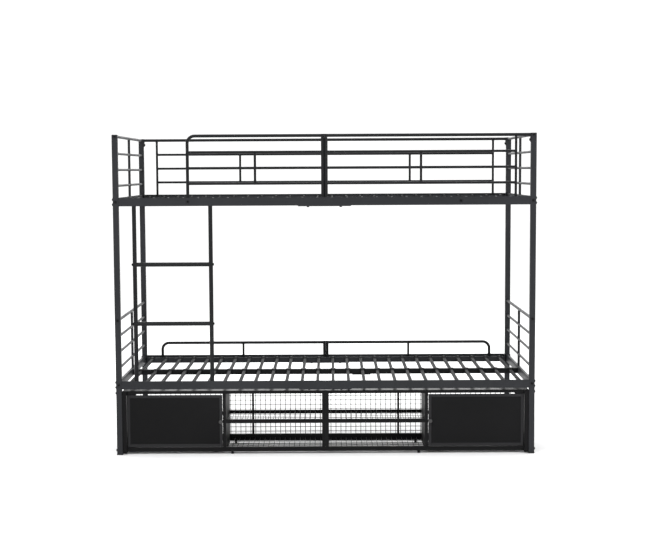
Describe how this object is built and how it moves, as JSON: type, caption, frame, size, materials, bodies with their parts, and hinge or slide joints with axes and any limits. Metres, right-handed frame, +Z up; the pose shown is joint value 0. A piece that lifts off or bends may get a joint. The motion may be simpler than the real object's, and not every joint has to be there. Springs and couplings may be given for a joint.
{
  "type": "bunk bed",
  "caption": "Black metal bunk bed, one berth above the other, with a ladder, guard rails, slats and a low storage unit with wire shelves and two hinged cupboard doors.",
  "frame": {"origin": "on the floor at the middle of the bed", "axes": "+X along the bed, -Y the ladder side, +Z up"},
  "size_m": [1.999, 1.0492, 1.519],
  "materials": {
    "frame_steel": "black powder coat, semi-gloss",
    "storage_steel": "black powder coat, gloss sheet",
    "black_plastic": "moulded, matt",
    "dark_fasteners": "blackened",
    "black_knobs": "moulded, gloss"
  },
  "bodies": {
    "root": {"beam_bolts": "dark_fasteners", "beam_splices": "frame_steel", "centre_beam_lower": "frame_steel", "centre_beam_sleeves": "frame_steel", "centre_beam_upper": "frame_steel", "end_panel_bolts": "dark_fasteners", "end_panel_lower_left": "frame_steel", "end_panel_lower_right": "frame_steel", "end_panel_upper_left": "frame_steel", "end_panel_upper_right": "frame_steel", "guard_bolts": "dark_fasteners", "guard_lower_rear_left": "frame_steel", "guard_lower_rear_right": "frame_steel", "guard_upper_front_left": "frame_steel", "guard_upper_front_right": "frame_steel", "guard_upper_rear_left": "frame_steel", "guard_upper_rear_right": "frame_steel", "hinge_pins": "dark_fasteners", "ladder_bolts": "dark_fasteners", "ladder_rungs": "frame_steel", "ladder_stiles": "frame_steel", "post_caps": "black_plastic", "post_feet": "black_plastic", "post_front_left": "frame_steel", "post_front_right": "frame_steel", "post_rear_left": "frame_steel", "post_rear_right": "frame_steel", "side_beam_lower_front_left": "frame_steel", "side_beam_lower_front_right": "frame_steel", "side_beam_lower_rear_left": "frame_steel", "side_beam_lower_rear_right": "frame_steel", "side_beam_upper_front_left": "frame_steel", "side_beam_upper_front_right": "frame_steel", "side_beam_upper_rear_left": "frame_steel", "side_beam_upper_rear_right": "frame_steel", "slats_lower_front": "frame_steel", "slats_lower_rear": "frame_steel", "slats_upper_front": "frame_steel", "slats_upper_rear": "frame_steel", "storage_back_frame_left": "storage_steel", "storage_back_frame_right": "storage_steel", "storage_back_mesh_left": "storage_steel", "storage_back_mesh_right": "storage_steel", "storage_bolts": "dark_fasteners", "storage_end_frame_left": "storage_steel", "storage_end_frame_right": "storage_steel", "storage_floor_mesh": "storage_steel", "storage_front_frame_left": "storage_steel", "storage_front_frame_right": "storage_steel", "storage_partition_left": "storage_steel", "storage_partition_right": "storage_steel", "storage_shelf_mesh": "storage_steel", "storage_top_panel_left": "storage_steel", "storage_top_panel_right": "storage_steel"},
    "door_left": {"door_left": "storage_steel", "knob_left": "black_knobs"},
    "door_right": {"door_right": "storage_steel", "knob_right": "black_knobs"}
  },
  "joints": [
    {"name": "door_left_hinge", "type": "hinge", "parent": "root", "child": "door_left", "pos_m": [-0.93895, -0.4945, 0.158], "axis": [0, 0, -1], "range_deg": [0, 95]},
    {"name": "door_right_hinge", "type": "hinge", "parent": "root", "child": "door_right", "pos_m": [0.93895, -0.4945, 0.158], "axis": [0, 0, 1], "range_deg": [0, 95]}
  ]
}
